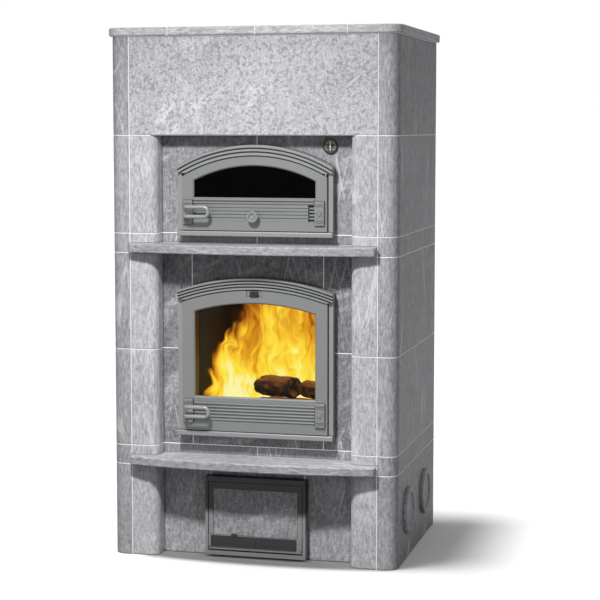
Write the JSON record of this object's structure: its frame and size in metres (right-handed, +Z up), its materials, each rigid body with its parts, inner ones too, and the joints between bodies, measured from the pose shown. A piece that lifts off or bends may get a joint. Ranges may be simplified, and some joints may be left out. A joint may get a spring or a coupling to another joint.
{
  "type": "soapstone baking oven",
  "caption": "Tall masonry wood stove of grey stone slabs with an arched glazed oven door above an arched glazed firebox door, bowed shelves, ash flap and soot hatches.",
  "frame": {"origin": "middle of the underside of the base slab, on the floor", "axes": "+Z up, front with the doors towards -Y, +X to the right seen from the front"},
  "size_m": [1.028, 0.798, 1.812],
  "materials": {
    "soapstone": "honed",
    "panel_stone": "polished",
    "core_stone": "sawn",
    "mortar": "matte",
    "door_casting": "satin paint",
    "handle_metal": "satin paint",
    "cast_iron_dark": "matte",
    "black_steel": "satin",
    "flap_metal": "satin",
    "steel": "brushed",
    "ceramic_glass": "clear",
    "rope_seal": "braided",
    "dial": "matte",
    "needle": "matte"
  },
  "bodies": {
    "stone_block": {"left_side_stones": "soapstone", "right_side_stones": "soapstone", "back_stones": "soapstone", "pilaster_stones": "soapstone", "base_niche_stones": "soapstone", "firebox_niche_stones": "soapstone", "oven_niche_stones": "soapstone", "band_strips": "soapstone", "shelves": "soapstone", "top_slabs": "soapstone", "base_slab": "core_stone", "ash_chamber_walls": "core_stone", "firebox_floor": "core_stone", "firebox_walls": "core_stone", "firebox_ceiling": "core_stone", "oven_floor": "core_stone", "oven_walls": "core_stone", "oven_vault": "core_stone", "front_panel": "panel_stone", "mortar_joints": "mortar", "grate": "cast_iron_dark", "ash_pan": "black_steel", "flue_collar": "cast_iron_dark", "oven_door_frame": "door_casting", "firebox_door_frame": "door_casting", "ash_door_frame": "flap_metal", "lower_hinge_pins": "steel", "thermometer_case": "steel", "thermometer_dial": "dial"},
    "oven_door": {"oven_door_leaf": "door_casting", "oven_door_glass": "ceramic_glass", "oven_glass_retainer": "black_steel", "oven_door_gasket": "rope_seal", "oven_door_blocks": "door_casting", "oven_hinge_pin_upper": "steel"},
    "oven_door_handle": {"oven_handle": "handle_metal", "oven_latch": "steel"},
    "oven_air_control": {"oven_air_slide": "door_casting", "oven_air_knob": "handle_metal", "oven_air_screw": "steel"},
    "firebox_door": {"firebox_door_leaf": "door_casting", "firebox_door_glass": "ceramic_glass", "firebox_glass_retainer": "black_steel", "firebox_door_gasket": "rope_seal", "firebox_door_blocks": "door_casting", "firebox_hinge_pin_upper": "steel"},
    "firebox_door_handle": {"firebox_handle": "handle_metal", "firebox_latch": "steel"},
    "firebox_air_control": {"firebox_air_tab": "black_steel"},
    "ash_door": {"ash_flap_frame": "flap_metal", "ash_flap_stone": "soapstone", "ash_flap_pins": "steel", "ash_air_screw": "steel", "ash_hinge_straps": "flap_metal"},
    "ash_air_control": {"ash_air_slide": "black_steel"},
    "needle": {"thermometer_needle": "needle"},
    "soot_cover_left_front_body": {"soot_cover_left_front": "soapstone"},
    "soot_cover_left_rear_body": {"soot_cover_left_rear": "soapstone"},
    "soot_cover_right_front_body": {"soot_cover_right_front": "soapstone"},
    "soot_cover_right_rear_body": {"soot_cover_right_rear": "soapstone"}
  },
  "joints": [
    {"name": "oven_door_hinge", "type": "hinge", "parent": "stone_block", "child": "oven_door", "pos_m": [0.2465, -0.323, 1.13], "axis": [0, 0, 1], "range_deg": [0, 100]},
    {"name": "oven_handle_lift", "type": "hinge", "parent": "oven_door", "child": "oven_door_handle", "pos_m": [-0.226, -0.338, 1.192], "axis": [0, -1, 0], "range_deg": [0, 35]},
    {"name": "oven_air_slide", "type": "slide", "parent": "oven_door", "child": "oven_air_control", "axis": [1, 0, 0], "range_m": [0, 0.02]},
    {"name": "firebox_door_hinge", "type": "hinge", "parent": "stone_block", "child": "firebox_door", "pos_m": [0.2485, -0.323, 0.443], "axis": [0, 0, 1], "range_deg": [0, 100]},
    {"name": "firebox_handle_lift", "type": "hinge", "parent": "firebox_door", "child": "firebox_door_handle", "pos_m": [-0.228, -0.338, 0.5085], "axis": [0, -1, 0], "range_deg": [0, 35]},
    {"name": "firebox_air_slide", "type": "slide", "parent": "firebox_door", "child": "firebox_air_control", "axis": [1, 0, 0], "range_m": [-0.012, 0.012]},
    {"name": "ash_door_hinge", "type": "hinge", "parent": "stone_block", "child": "ash_door", "pos_m": [0, -0.319, 0.029], "axis": [1, 0, 0], "range_deg": [0, 88]},
    {"name": "ash_air_slide", "type": "slide", "parent": "ash_door", "child": "ash_air_control", "axis": [1, 0, 0], "range_m": [0, 0.012]},
    {"name": "thermometer_needle_turn", "type": "hinge", "parent": "stone_block", "child": "needle", "pos_m": [0.255, -0.293, 1.413], "axis": [0, -1, 0], "range_deg": [-130, 130]},
    {"name": "soot_cover_left_front_pull", "type": "slide", "parent": "stone_block", "child": "soot_cover_left_front_body", "axis": [-1, 0, 0], "range_m": [0, 0.08]},
    {"name": "soot_cover_left_rear_pull", "type": "slide", "parent": "stone_block", "child": "soot_cover_left_rear_body", "axis": [-1, 0, 0], "range_m": [0, 0.08]},
    {"name": "soot_cover_right_front_pull", "type": "slide", "parent": "stone_block", "child": "soot_cover_right_front_body", "axis": [1, 0, 0], "range_m": [0, 0.08]},
    {"name": "soot_cover_right_rear_pull", "type": "slide", "parent": "stone_block", "child": "soot_cover_right_rear_body", "axis": [1, 0, 0], "range_m": [0, 0.08]}
  ]
}
